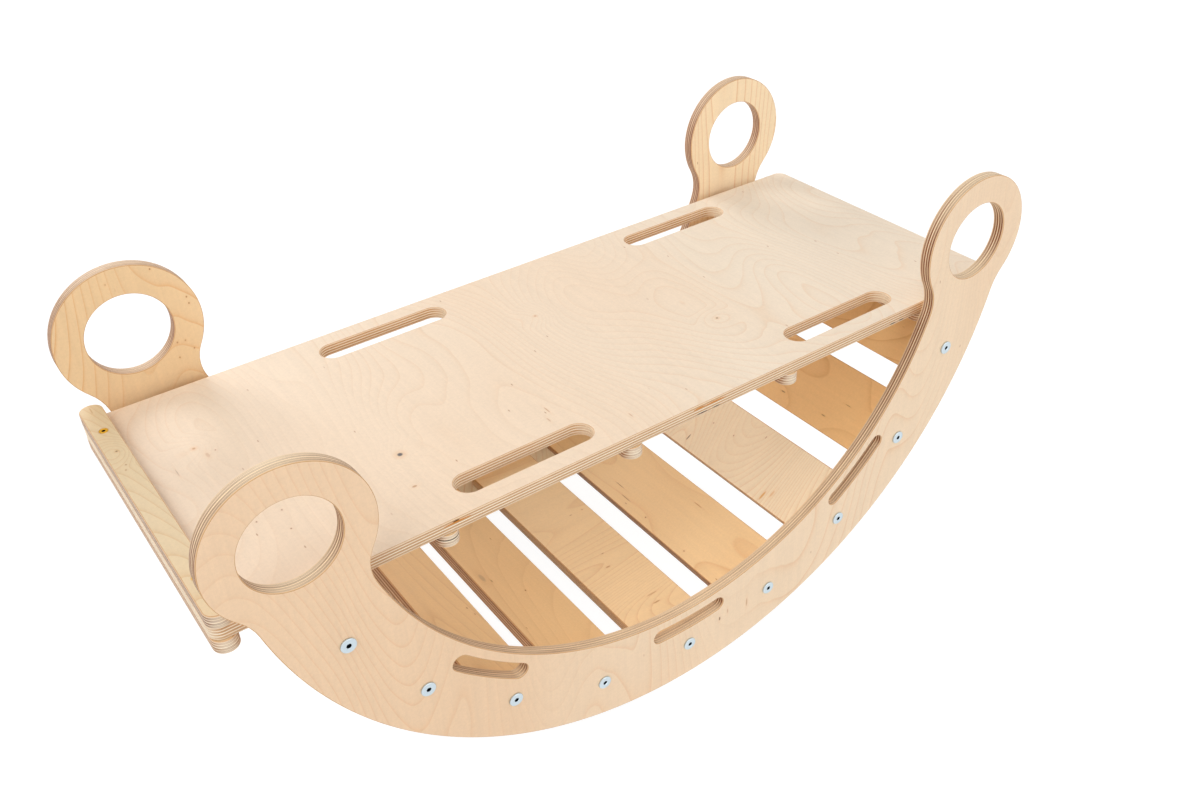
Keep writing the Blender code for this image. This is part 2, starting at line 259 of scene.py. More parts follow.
# %% A recipe of nodes
class Recipe:
    """Adds nodes to a tree, one sum at a time."""

    def __init__(self, tree):
        self.tree = tree

    def fill(self, made, inputs):
        """Links a result to each input, or sets it to a plain value."""
        for name, value in inputs.items():
            if isinstance(value, bpy.types.NodeSocket):
                self.tree.links.new(value, made.inputs[name])
            else:
                made.inputs[name].default_value = value

    def node(self, kind, inputs=None, **settings):
        made = self.tree.nodes.new("ShaderNode" + kind)
        for name, value in settings.items():
            setattr(made, name, value)
        self.fill(made, inputs or {})
        return made

    def sum(self, operation, *values):
        return self.node("Math", dict(enumerate(values)), operation=operation).outputs[0]

    def vector(self, operation, *values):
        made = self.node("VectorMath", dict(enumerate(values)), operation=operation)
        return made.outputs["Value" if operation in ("LENGTH", "DOT_PRODUCT") else "Vector"]

    def fade(self, value, low, high):
        """0 at low, 1 at high, and a soft S between them."""
        inputs = {"Value": value, "From Min": low, "From Max": high}
        return self.node("MapRange", inputs, interpolation_type="SMOOTHSTEP").outputs[0]

    def noise(self, place, scale, detail=2.0, roughness=0.5):
        inputs = {"Vector": place, "Scale": scale, "Detail": detail, "Roughness": roughness}
        return self.node("TexNoise", inputs).outputs[0]

    def blend(self, amount, first, second):
        return self.node("Mix", {0: amount, 6: first, 7: second}, data_type="RGBA").outputs[2]

    def scaled(self, colour, tone):
        return self.node("VectorMath", {0: colour, "Scale": tone}, operation="SCALE").outputs[0]

    def bump(self, height, strength, distance):
        inputs = {"Height": height, "Strength": strength, "Distance": distance}
        return self.node("Bump", inputs).outputs[0]

    def coat(self, inputs):
        """Gives the material's own shader its inputs."""
        self.fill(self.tree.nodes["Principled BSDF"], inputs)


def new_finish(name):
    made = bpy.data.materials.new(name)
    made.use_nodes = True
    return made, Recipe(made.node_tree)


def shade(red, green, blue):
    """Colour picked as 0 to 255 values on screen, as the linear values that Blender mixes."""
    linear = []
    for value in (red, green, blue):
        value /= 255
        linear.append(value / 12.92 if value <= 0.04045 else ((value + 0.055) / 1.055) ** 2.4)
    return (*linear, 1)


print("White on screen is", shade(255, 255, 255), "for Blender")

# %% [markdown]
# ## The face of birch plywood
#
# The face veneer is peeled from a turning log, so the knife slides along the
# yearly rings and shows them as wandering contour lines, like those on a map.
# Each line is tan, ends sharply on one side and fades slowly on the other. Here
# a smooth stretched noise stands for the hill, and the remainder of its height
# after a whole number gives the contour lines. Raising that remainder to a
# power thins the lines, more so where the rings are far apart. Wood fibres, a
# fine mottle and broad pale or pink patches are added as other noises. The
# small brown specks are the middles of Voronoi cells, and only one cell in five
# shows its own.

# %% Birch figure
HILL_SCALE, RIPPLE_SCALE, RIPPLE_SHARE = 6.0, 44.0, 0.008
LINE_POWER, LINE_RISE = 520.0, 0.96
FIBRE_SCALE, STREAK_SCALE, MOTTLE_SCALE, PATCH_SCALE = 900.0, 150.0, 420.0, 3.3
ALONG_FIBRES = (1.0, 0.03, 1.0)
SPECK_SCALE, SPECK_BROWN = 42.0, shade(176, 116, 60)


def birch_figure():
    """Group that turns a place on the sheet, grain along Y, into a colour and a roughness."""
    tree = bpy.data.node_groups.new("birch_figure", "ShaderNodeTree")
    for kind, way, names in (
        ("Vector", "INPUT", ("Place",)),
        ("Float", "INPUT", ("Swirl", "Warmth", "Rings", "Stretch", "Strength")),
        ("Color", "INPUT", ("Pale", "Line", "Blush")),
        ("Color", "OUTPUT", ("Colour",)),
        ("Float", "OUTPUT", ("Roughness", "Height")),
    ):
        for name in names:
            tree.interface.new_socket(name, in_out=way, socket_type="NodeSocket" + kind)
    recipe = Recipe(tree)
    given = tree.nodes.new("NodeGroupInput").outputs
    squeeze = recipe.node("CombineXYZ", {0: 1.0, 1: given["Stretch"], 2: 1.0}).outputs[0]
    stretched = recipe.vector("MULTIPLY", given["Place"], squeeze)

    hill = recipe.noise(stretched, HILL_SCALE, 1.0, 0.35)
    ripple = recipe.noise(stretched, RIPPLE_SCALE, 1.0)
    height = recipe.sum("MULTIPLY_ADD", ripple, RIPPLE_SHARE, hill)
    height = recipe.sum("ADD", height, given["Swirl"])
    part = recipe.sum("FRACT", recipe.sum("MULTIPLY", height, given["Rings"]))
    slow_side = recipe.sum("POWER", part, recipe.sum("DIVIDE", LINE_POWER, given["Rings"]))
    line = recipe.sum("MULTIPLY", slow_side, recipe.fade(part, 1.0, LINE_RISE))
    where = recipe.fade(recipe.noise(stretched, 5.0, 1.0), 0.30, 0.62)
    line = recipe.sum("MULTIPLY", line, recipe.sum("MULTIPLY_ADD", where, 0.88, 0.12))
    line = recipe.sum("MULTIPLY", line, given["Strength"])

    along = recipe.vector("MULTIPLY", given["Place"], ALONG_FIBRES)
    fibre = recipe.noise(along, FIBRE_SCALE, 3.0, 0.6)
    streak = recipe.noise(along, STREAK_SCALE, 2.0, 0.6)
    mottle = recipe.noise(given["Place"], MOTTLE_SCALE, 3.0, 0.7)
    patch = recipe.noise(stretched, PATCH_SCALE, 2.0, 0.5)

    blush = recipe.fade(recipe.sum("ADD", patch, given["Warmth"]), 0.35, 0.7)
    colour = recipe.blend(blush, given["Pale"], given["Blush"])
    colour = recipe.blend(line, colour, given["Line"])
    swings = ((fibre, 0.07), (streak, 0.09), (mottle, 0.17), (part, -0.022))
    tones = [recipe.sum("MULTIPLY_ADD", value, swing, 1 - swing / 2) for value, swing in swings]
    tone = tones[0]
    for other in tones[1:]:
        tone = recipe.sum("MULTIPLY", tone, other)
    colour = recipe.scaled(colour, tone)

    long_place = recipe.vector("MULTIPLY", given["Place"], (1.0, 0.35, 1.0))
    inputs = {"Vector": long_place, "Scale": SPECK_SCALE}
    cells = recipe.node("TexVoronoi", inputs, voronoi_dimensions="2D")
    luck = recipe.node("SeparateColor", {0: cells.outputs["Color"]}).outputs[0]
    speck = recipe.fade(cells.outputs["Distance"], 0.034, 0.014)
    speck = recipe.sum("MULTIPLY", speck, recipe.fade(luck, 0.78, 0.98))
    colour = recipe.blend(recipe.sum("MULTIPLY", speck, 0.6), colour, SPECK_BROWN)

    end = tree.nodes.new("NodeGroupOutput")
    tree.links.new(colour, end.inputs["Colour"])
    roughness = recipe.sum("MULTIPLY_ADD", fibre, 0.16, 0.44)
    tree.links.new(roughness, end.inputs["Roughness"])
    tree.links.new(fibre, end.inputs["Height"])
    return tree


BIRCH_FIGURE = birch_figure()
print("Birch figure:", len(BIRCH_FIGURE.nodes), "nodes")

# %% [markdown]
# ## One sheet's own face
#
# Each piece is cut from another part of the sheet, so its figure starts
# somewhere else and may run along or across it. The figure is the same group
# each time. Its start, turn and colours are set for each piece, and so is how
# many, how drawn out and how strong its lines are. Knots and dark streaks are
# placed one by one. A knot lifts the hill a little, so the contour lines bend
# round it, and it has a warm halo and a small eye. A streak lifts nothing: it is
# an eye with a faint halo, drawn out along the grain. A long sheet is seldom one
# colour from end to end, so the warmth brings in more blush towards one end.

# %% Knots and streaks
BROWN, TAN, GREY = shade(112, 66, 34), shade(186, 122, 58), shade(92, 92, 96)
AMBER, PIN_BROWN = shade(222, 164, 74), shade(156, 84, 28)
KNOT_LIFT, KNOT_HALO, STREAK_HALO = 0.05, 0.40, 0.12


def knot(x, y, size=0.0016, darkness=0.8, tint=BROWN):
    """Round mark, as x, y, half width, half length, darkness, lift, halo and tint."""
    return x, y, size, size, darkness, KNOT_LIFT, KNOT_HALO, tint


def streak(x, y, length=0.004, width=0.0007, darkness=0.6, tint=BROWN):
    """Short dark mark along the grain."""
    return x, y, width, length, darkness, 0.0, STREAK_HALO, tint


def speck(x, y, darkness=0.6):
    """Pin-sized brown dot."""
    return streak(x, y, 0.0009, 0.0007, darkness, PIN_BROWN)


print("A mark has", len(knot(0, 0)), "values")

# %% Face finish
KNOT_REACH = 0.030


def face_finish(name, start, colours, rings, stretch, strength, across=False, marks=(), warmth=0.0):
    """Birch face. The colours are pale wood, line and blush, and warmth adds blush along +X."""
    made, recipe = new_finish(name)
    place = recipe.node("TexCoord").outputs["Object"]
    swirl = 0.0
    eyes = []
    for x, y, half_width, half_length, darkness, lift, halo, tint in marks:
        size = (half_length, half_width) if across else (half_width, half_length)
        gap = recipe.vector("SUBTRACT", place, (x, y, 0.0))
        gap = recipe.vector("MULTIPLY", gap, (1 / size[0], 1 / size[1], 0.0))
        gap = recipe.vector("LENGTH", gap)
        if lift:
            hill = recipe.fade(gap, KNOT_REACH / half_width, 0.0)
            swirl = recipe.sum("MULTIPLY_ADD", hill, lift, swirl)
        eyes.append((gap, darkness, halo, tint))
    turn = (0.0, 0.0, math.pi / 2 if across else 0.0)
    mapping = {"Vector": place, "Location": start, "Rotation": turn}
    pale, line, blush = colours
    inputs = {
        "Place": recipe.node("Mapping", mapping).outputs[0],
        "Swirl": swirl,
        "Warmth": recipe.sum("MULTIPLY", recipe.node("SeparateXYZ", {0: place}).outputs["X"], warmth),
        "Rings": rings,
        "Stretch": stretch,
        "Strength": strength,
        "Pale": pale,
        "Line": line,
        "Blush": blush,
    }
    figure = recipe.node("Group", inputs, node_tree=BIRCH_FIGURE)
    colour = figure.outputs["Colour"]
    for gap, darkness, halo, tint in eyes:
        glow = recipe.sum("MULTIPLY", recipe.fade(gap, 4.0, 0.6), halo)
        colour = recipe.blend(glow, colour, line)
        eye = recipe.sum("MULTIPLY", recipe.fade(gap, 1.4, 0.6), darkness)
        colour = recipe.blend(eye, colour, tint)
    coat = {
        "Base Color": colour,
        "Roughness": figure.outputs["Roughness"],
        "Normal": recipe.bump(figure.outputs["Height"], 0.12, 0.0002),
        "Specular IOR Level": 0.3,
    }
    recipe.coat(coat)
    return made


print("A knot bends the lines within", 1000 * KNOT_REACH, "mm")

# %% [markdown]
# ## The cut edge
#
# Birch plywood of 12 mm has nine plies, and each is laid across the one below.
# The five that run with the faces are pale. The four between them are brown
# where the cut shows their end grain, and much lighter where it runs along
# them. The pale plies get a little painted shade where the cut runs along
# them. This darkens the panel edges that face sideways against those that face
# up, so the stripes change as an edge follows a curve. The finish works
# that out from the way each bit of edge faces. Thin brown glue lines lie
# between the plies, and the rim next to the face has a caramel line. A poor
# sheet also has a few gaps and stains between its plies. They are listed one
# by one as flat little clouds. The gaps are nearly black, which is painted
# shade for the dark inside them.

# %% Edge finish
PLIES = 9
SHEET_THICKNESS = 0.012
HALF_SHEET = SHEET_THICKNESS / 2
RIM_START, RIM_END = HALF_SHEET - 0.0009, HALF_SHEET - 0.0003
WAVER = 0.14
PALE_PLY, DARK_PLY = shade(252, 236, 210), shade(176, 122, 80)
# The gap colour is nearly black: painted shade for the dark inside a gap between plies.
GLUE, GAP_SHADE, STAIN = shade(118, 68, 38), shade(34, 24, 20), shade(206, 130, 44)
CARAMEL = shade(222, 166, 104)


def edge_finish(name, start, across=False, pale=PALE_PLY, dark=DARK_PLY, side_shade=0.25, marks=()):
    """Ply stripes through the thickness, along Z.

    The side shade is painted shade that the pale plies take where the cut runs along them.
    A mark is a place, its half sizes and a tint.
    """
    made, recipe = new_finish(name)
    spot = recipe.node("TexCoord")
    place = recipe.node("Mapping", {"Vector": spot.outputs["Object"], "Location": start}).outputs[0]
    height = recipe.node("SeparateXYZ", {0: spot.outputs["Object"]}).outputs["Z"]
    facing = recipe.node("SeparateXYZ", {0: spot.outputs["Normal"]})
    with_face = recipe.sum("POWER", facing.outputs["X" if across else "Y"], 2.0)

    waver = recipe.noise(recipe.vector("MULTIPLY", place, (1.0, 1.0, 6.0)), 60.0, 2.0)
    level = recipe.sum("MULTIPLY_ADD", height, PLIES / SHEET_THICKNESS, PLIES / 2)
    level = recipe.sum("ADD", level, recipe.sum("MULTIPLY_ADD", waver, WAVER, -WAVER / 2))
    ply = recipe.sum("FLOOR", level)
    part = recipe.sum("FRACT", level)
    crossing = recipe.sum("MODULO", ply, 2.0)
    # Painted shade: the pale plies darken where the cut runs along them, by the amount given.
    face_ply = recipe.sum("MULTIPLY_ADD", with_face, -side_shade, side_shade + 0.02)
    cross_ply = recipe.sum("MULTIPLY_ADD", with_face, -0.72, 1.0)
    amount = recipe.sum("MULTIPLY_ADD", crossing, recipe.sum("SUBTRACT", cross_ply, face_ply), face_ply)

    own = recipe.node("TexWhiteNoise", {"W": ply}, noise_dimensions="1D").outputs["Value"]
    fuzz = recipe.noise(recipe.vector("MULTIPLY", place, (1.0, 1.0, 2.5)), 420.0, 3.0, 0.6)
    cloud = recipe.noise(recipe.vector("MULTIPLY", place, (1.0, 1.0, 9.0)), 26.0, 2.0)
    for value, reach in ((own, 0.24), (fuzz, 0.20), (cloud, 0.36)):
        amount = recipe.sum("ADD", amount, recipe.sum("MULTIPLY_ADD", value, reach, -reach / 2))
    amount = recipe.node("Clamp", {0: amount}).outputs[0]
    colour = recipe.blend(amount, pale, dark)

    from_middle = recipe.sum("ABSOLUTE", recipe.sum("SUBTRACT", part, 0.5))
    glue = recipe.fade(from_middle, 0.38, 0.49)
    glue = recipe.sum("MULTIPLY", glue, recipe.sum("MULTIPLY_ADD", cloud, 1.0, 0.2))
    colour = recipe.blend(glue, colour, GLUE)
    rim = recipe.fade(recipe.sum("ABSOLUTE", height), RIM_START, RIM_END)
    colour = recipe.blend(recipe.sum("MULTIPLY", rim, 0.6), colour, CARAMEL)
    ragged = recipe.sum("MULTIPLY_ADD", fuzz, 0.8, -0.4)
    for centre, half, tint in marks:
        gap = recipe.vector("SUBTRACT", spot.outputs["Object"], centre)
        gap = recipe.vector("MULTIPLY", gap, tuple(1 / size for size in half))
        gap = recipe.sum("ADD", recipe.vector("LENGTH", gap), ragged)
        colour = recipe.blend(recipe.fade(gap, 1.2, 0.8), colour, tint)

    coat = {
        "Base Color": colour,
        "Roughness": recipe.sum("MULTIPLY_ADD", fuzz, 0.2, 0.5),
        "Normal": recipe.bump(fuzz, 0.25, 0.0003),
        "Specular IOR Level": 0.25,
    }
    recipe.coat(coat)
    return made


print("One ply:", round(1000 * SHEET_THICKNESS / PLIES, 2), "mm")

# %% [markdown]
# ## Plated metal
#
# The bolts are zinc plated and a little blue, the nuts are plain steel and the
# small screws have the yellow coat of a wood screw. All three are metal with
# fine rings left by the lathe. A wave along the distance from the middle gives
# the rings, and it only touches the bump. A fine noise varies the colour and the
# roughness a little. The sockets get a nearly black metal of their own, which
# is painted shade for the dark inside a deep socket.

# %% Metal finish
LATHE_RINGS = 9000.0


def metal_finish(name, colour, roughness):
    made, recipe = new_finish(name)
    place = recipe.node("TexCoord").outputs["Object"]
    flat = recipe.vector("MULTIPLY", place, (1.0, 1.0, 0.0))
    radius = recipe.vector("LENGTH", flat)
    rings = recipe.sum("SINE", recipe.sum("MULTIPLY", radius, LATHE_RINGS))
    cloud = recipe.noise(place, 700.0, 2.0)
    tint = recipe.blend(cloud, colour, tuple(value * 0.86 for value in colour[:3]) + (1,))
    grain = recipe.sum("MULTIPLY_ADD", rings, 0.3, cloud)
    coat = {
        "Metallic": 1.0,
        "Base Color": tint,
        "Roughness": recipe.sum("MULTIPLY_ADD", cloud, 0.15, roughness),
        "Normal": recipe.bump(grain, 0.15, 0.0001),
    }
    recipe.coat(coat)
    return made


white_zinc = metal_finish("white_zinc_plate", shade(212, 226, 234), 0.26)
plain_steel = metal_finish("plain_steel_nut", shade(176, 174, 170), 0.34)
yellow_zinc = metal_finish("yellow_zinc_plate", shade(226, 184, 56), 0.28)
# The socket metal is nearly black as painted shade for the dark inside a deep socket.
socket_shade = metal_finish("socket_shade", shade(44, 52, 60), 0.42)
for metal in (white_zinc, plain_steel, yellow_zinc, socket_shade):
    print("Metal:", metal.name, "with", len(metal.node_tree.nodes), "nodes")

# %% [markdown]
# ## Putting a piece in its place
#
# Each mesh is made flat round the origin, as it would be on the bench, then
# moved to where its solid is. The piece rides on the same body as the solid, so
# the loose board and its battens lift together.

# %% Place a piece
def middle(node):
    low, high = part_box(node)
    return (low + high) / 2


def add(name, mesh, finishes, place, turn, body, node):
    """One finished piece that stands for a node of the frame."""
    while len(mesh.materials) < len(finishes):
        mesh.materials.append(None)
    for index, finish in enumerate(finishes):
        mesh.materials[index] = finish
    piece = bpy.data.objects.new(name, mesh)
    piece.location = place
    piece.rotation_euler = turn
    bpy.context.scene.collection.objects.link(piece)
    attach(piece, body)
    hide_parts(node)


print("Nodes to dress:", len(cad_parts))

# %% [markdown]
# ## The two side panels
#
# A side panel is a crescent band with a ring at each tip. The band follows the
# rocker's floor arc and the smaller arc inside it, and each ring is joined on
# by two fillets, which are arcs that touch both curves. Where they touch is
# found from the meeting of two circles, so the line has no kink.

# %% Crescent drawing
ROCKER_RADIUS = 0.400
BAND_DEPTH = 0.0862
RING_TURN = math.radians(83.48)
RING_INSET = 0.0477
RING_RADIUS = 0.065
RING_HOLE_RADIUS = 0.0385
INSIDE_FILLET = 0.040
OUTSIDE_FILLET = 0.050
ARC_CENTRE = (0, ROCKER_RADIUS)
BAND_INNER_RADIUS = ROCKER_RADIUS - BAND_DEPTH


def on_arc(radius, angle):
    return radius * math.cos(angle), ROCKER_RADIUS + radius * math.sin(angle)


def heading(start, end):
    return math.atan2(end[1] - start[1], end[0] - start[0])


def lower_meeting(first, first_radius, second, second_radius):
    """Lower crossing of two circles, the first of them on the left."""
    apart = math.dist(first, second)
    along = (first_radius**2 - second_radius**2 + apart**2) / (2 * apart)
    across = math.sqrt(first_radius**2 - along**2)
    turn = heading(first, second)
    x = first[0] + along * math.cos(turn) + across * math.sin(turn)
    z = first[1] + along * math.sin(turn) - across * math.cos(turn)
    return x, z


def crescent():
    """Half of the outline from the floor up over the right ring, then its mirror image."""
    ring = on_arc(ROCKER_RADIUS - RING_INSET, DOWN + RING_TURN)
    outside = lower_meeting(
        ARC_CENTRE, ROCKER_RADIUS + OUTSIDE_FILLET, ring, RING_RADIUS + OUTSIDE_FILLET
    )
    inside = lower_meeting(
        ARC_CENTRE, BAND_INNER_RADIUS - INSIDE_FILLET, ring, RING_RADIUS + INSIDE_FILLET
    )

    half = arc(ARC_CENTRE, ROCKER_RADIUS, DOWN, heading(ARC_CENTRE, outside), FINE)
    start = heading(outside, ARC_CENTRE)
    turn = (start - heading(outside, ring)) % (2 * math.pi)
    half += arc(outside, OUTSIDE_FILLET, start, start - turn, SMALL)[1:]
    start = heading(ring, outside)
    turn = (heading(ring, inside) - start) % (2 * math.pi)
    half += arc(ring, RING_RADIUS, start, start + turn, SMALL / 2)[1:]
    start = heading(inside, ring)
    turn = (start - heading(ARC_CENTRE, inside)) % (2 * math.pi)
    half += arc(inside, INSIDE_FILLET, start, start - turn, SMALL)[1:]
    half += arc(ARC_CENTRE, BAND_INNER_RADIUS, start - turn, DOWN, FINE)[1:]
    return half + [(-x, z) for x, z in reversed(half[1:-1])]


panel_outline = crescent()
print("Crescent outline:", len(panel_outline), "points")

# %% Slots, ring holes and bolt holes
SLOT_INSET, SLOT_LENGTH, SLOT_HALF_WIDTH = 0.0172, 0.085, 0.00775
SLOT_RADIUS = BAND_INNER_RADIUS + SLOT_INSET
SLOT_HALF_TURN = (SLOT_LENGTH / 2 - SLOT_HALF_WIDTH) / SLOT_RADIUS
SLOT_PITCH = math.radians(40.4)
BOLT_HOLE_RADIUS = 0.0035
COARSE = 2 * SMALL
SLAT_PITCH = math.radians(16.33)
SLAT_INSET = 0.040
SLAT_CIRCLE = ROCKER_RADIUS - SLAT_INSET
slat_angles = [SLAT_PITCH * step for step in range(-4, 5)]


def curved_slot(angle):
    """Slot with round ends that follows the band."""
    low, high = DOWN + angle - SLOT_HALF_TURN, DOWN + angle + SLOT_HALF_TURN
    outer, inner = SLOT_RADIUS + SLOT_HALF_WIDTH, SLOT_RADIUS - SLOT_HALF_WIDTH
    points = arc(ARC_CENTRE, outer, low, high, FINE)
    points += arc(on_arc(SLOT_RADIUS, high), SLOT_HALF_WIDTH, high, high + math.pi, COARSE)[1:]
    points += arc(ARC_CENTRE, inner, high, low, FINE)[1:]
    points += arc(on_arc(SLOT_RADIUS, low), SLOT_HALF_WIDTH, low - math.pi, low, COARSE)[1:-1]
    return points


ring_places = [on_arc(ROCKER_RADIUS - RING_INSET, DOWN + side * RING_TURN) for side in (-1, 1)]
panel_holes = [circle(place, RING_HOLE_RADIUS, SMALL / 2) for place in ring_places]
panel_holes += [curved_slot(step * SLOT_PITCH) for step in (-1, 0, 1)]
panel_holes += [circle(on_arc(SLAT_CIRCLE, DOWN + a), BOLT_HOLE_RADIUS, COARSE) for a in slat_angles]
print("Panel holes:", len(panel_holes))

# %% Both panels
# The second number is painted shade on the pale plies where the panel edges face sideways.
RIM_ROUNDING, PANEL_SIDE_SHADE = 0.0006, 0.34
# A look is the start on the sheet, the face colours, (rings, stretch, strength), the
# warmth, the colours of the pale and dark plies, and the marks.
panel_looks = {
    "near": (
        (3.1, 7.4, 0.2),
        (shade(247, 221, 190), shade(232, 166, 98), shade(242, 209, 174)),
        (50.0, 0.27, 0.46),
        -0.35,
        (shade(252, 227, 191), shade(130, 72, 35)),
        (
            streak(0.0386, 0.0492, 0.0022, 0.0009, 0.8),
            streak(0.0487, 0.0537, 0.0028, 0.0006, 0.4, TAN),
            streak(0.0737, 0.0505, 0.0050, 0.0008, 0.5, TAN),
        ),
    ),
    "far": (
        (5.3, 1.9, 0.6),
        (shade(248, 223, 186), shade(222, 150, 70), shade(236, 204, 160)),
        (48.0, 0.22, 0.85),
        -0.70,
        (shade(238, 208, 174), shade(142, 92, 66)),
        (
            speck(-0.3192, 0.4141),
            speck(-0.2954, 0.3782),
            speck(-0.2947, 0.3715),
            speck(-0.3136, 0.3374, 0.5),
            speck(-0.3063, 0.3369, 0.4),
            speck(-0.3004, 0.3264, 0.5),
            speck(-0.3150, 0.3220, 0.5),
            speck(-0.3578, 0.4121, 0.3),
        ),
    ),
}
for end, (start, colours, figure, warmth, (pale, dark), marks) in panel_looks.items():
    node = f"side_panel_{end}"
    low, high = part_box(node)
    mesh = shaded(plywood(node + "_sheet", panel_outline, panel_holes, high.y - low.y, RIM_ROUNDING))
    face = face_finish(f"panel_face_{end}", start, colours, *figure, marks=marks, warmth=warmth)
    edge = edge_finish(f"panel_edge_{end}", start, pale=pale, dark=dark, side_shade=PANEL_SIDE_SHADE)
    place = (0, (low.y + high.y) / 2, 0)
    add(f"{end}_panel", mesh, (face, edge), place, (math.pi / 2, 0, 0), "rocker", node)
    print("Panel", end, "has", len(mesh.polygons), "faces")

# %% [markdown]
# ## Nine slats
#
# The slats make the climbing curve. They are plain boards with a bolt bore in
# each end and a pocket from below for the nut. Their faces come from different
# sheets: on some the grain runs along the slat and on others across it, and a
# few are paler than the rest. A short list holds each slat's own look.

# %% Slat mesh
SLAT_WIDTH = 0.076
SLAT_LENGTH = 0.3354
SLAT_ROUNDING = 0.0008
BOLT_LENGTH = 0.060
NUT_RADIUS = 0.005
NUT_LENGTH = 0.009
NUT_SETBACK = 0.035
BORE_START = 0.118
OVERCUT, DRILL_SLACK = 0.001, 0.0003


def slat_mesh():
    """Plank with its bores along Y and the nut pockets from below."""
    outline = rounded_bar(SLAT_WIDTH, SLAT_LENGTH, SLAT_ROUNDING)
    blank = plywood("slat", outline, [], SHEET_THICKNESS, SLAT_ROUNDING)
    cutters = []
    for side in (-1, 1):
        along = Matrix.Rotation(-side * math.pi / 2, 4, "X")
        cutters.append(rod(BOLT_HOLE_RADIUS, BORE_START, SLAT_LENGTH / 2 + OVERCUT, along))
        across = Matrix.Translation((0, side * (SLAT_LENGTH / 2 - NUT_SETBACK), 0))
        top = NUT_LENGTH / 2 + DRILL_SLACK
        cutters.append(rod(NUT_RADIUS + DRILL_SLACK, -HALF_SHEET - OVERCUT, top, across))
    return shaded(drilled(blank, cutters))


slat_blank = slat_mesh()
print("Slat:", len(slat_blank.polygons), "faces")

# %% Nine slats in place
SLAT_PLY, SLAT_DARK_PLY = shade(228, 192, 150), shade(166, 114, 76)
SLAT_SHIFT = (1.37, 2.11, 0.43)
golden = (shade(247, 213, 163), shade(190, 122, 58), shade(242, 205, 152))
deep_golden = (shade(244, 205, 148), shade(194, 126, 64), shade(238, 194, 136))
peach = (shade(252, 224, 180), shade(216, 150, 86), shade(249, 216, 169))
honey = (shade(251, 220, 172), shade(216, 144, 70), shade(246, 211, 160))
ivory = (shade(253, 240, 214), shade(228, 176, 118), shade(251, 233, 202))
# A look is the face colours, the figure's rings, stretch and strength, and whether the
# grain runs across the slat.
slat_looks = [
    (golden, 44.0, 0.25, 0.4, False),
    (golden, 40.0, 0.18, 0.4, False),
    (golden, 54.0, 0.18, 0.60, False),
    (golden, 46.0, 0.20, 1.0, False),
    (peach, 60.0, 0.26, 0.50, True),
    (honey, 36.0, 0.26, 0.50, False),
    (ivory, 110.0, 0.20, 0.38, True),
    (deep_golden, 34.0, 0.24, 0.75, False),
    (deep_golden, 34.0, 0.25, 0.6, False),
]
slat_marks = {
    3: (speck(0.0276, -0.0498, 0.9), speck(0.0309, -0.0598)),
    4: (
        streak(-0.0210, -0.0127, 0.0020, 0.0006, 0.5),
        speck(0.0033, -0.0387, 0.9),
        streak(-0.0276, -0.0048, 0.0060, 0.0022, 0.25, GREY),
    ),
    5: (
        streak(-0.0025, -0.0502, 0.0026, 0.0010, 0.55, TAN),
        streak(0.0092, -0.1092, 0.0060, 0.0008, 0.4, TAN),
        streak(0.0061, -0.1213, 0.0040, 0.0008, 0.6, TAN),
        speck(0.0291, 0.0419, 0.4),
    ),
    6: (
        streak(-0.0188, 0.0415, 0.0070, 0.0004, 0.6),
        streak(-0.0260, 0.0210, 0.0080, 0.0004, 0.6),
        speck(-0.0285, -0.0177, 0.8),
        streak(0.0208, -0.0494, 0.0060, 0.0005, 0.6, TAN),
        speck(-0.0297, -0.0850),
    ),
    7: (
        streak(-0.0247, 0.0289, 0.0040, 0.0007, 0.8),
        speck(0.0052, 0.0152, 0.5),
        speck(0.0066, -0.0176, 0.5),
        streak(-0.0281, -0.0981, 0.0055, 0.0011, 0.8, AMBER),
        streak(-0.0209, -0.1060, 0.0040, 0.0012, 0.4, AMBER),
    ),
    8: (
        streak(-0.0229, -0.0347, 0.0028, 0.0006, 0.7),
        streak(-0.0214, -0.0952, 0.0026, 0.0006, 0.6),
        streak(0.0011, -0.1153, 0.0035, 0.0004, 0.5),
    ),
}
for number, (angle, look) in enumerate(zip(slat_angles, slat_looks), start=1):
    start = tuple(number * shift for shift in SLAT_SHIFT)
    face = face_finish(f"slat_face_{number}", start, *look, marks=slat_marks.get(number, ()))
    edge = edge_finish(f"slat_edge_{number}", start, look[-1], SLAT_PLY, SLAT_DARK_PLY)
    node = f"slat_{number}"
    name, plank = f"slat_plank_{number}", slat_blank.copy()
    add(name, plank, (face, edge), middle(node), (0, -angle, 0), "rocker", node)
print("Slats:", len(slat_looks))

# %% [markdown]
# ## Bolts and nuts
#
# Each slat end is held by a flat-head bolt that meets a nut lying across its
# bore. The heads are what a parent sees on the panels: a thin disc with a
# bright bevel and a hexagon socket for the key.

# %% Bolt and nut meshes
CRISP = 25
HEAD_RADIUS, HEAD_HEIGHT, HEAD_BEVEL, HEAD_RIM = 0.0066, 0.0015, 0.0004, 0.0001
SHANK_RADIUS = 0.003
TIP_TAPER, TIP_LENGTH = 0.0006, 0.0008
SOCKET_ACROSS, SOCKET_DEPTH = 0.004, 0.0035
SOCKET_LAND, SOCKET_CHAMFER, SOCKET_POINT, POINT_RADIUS = 0.0006, 0.0002, 0.0008, 0.0002


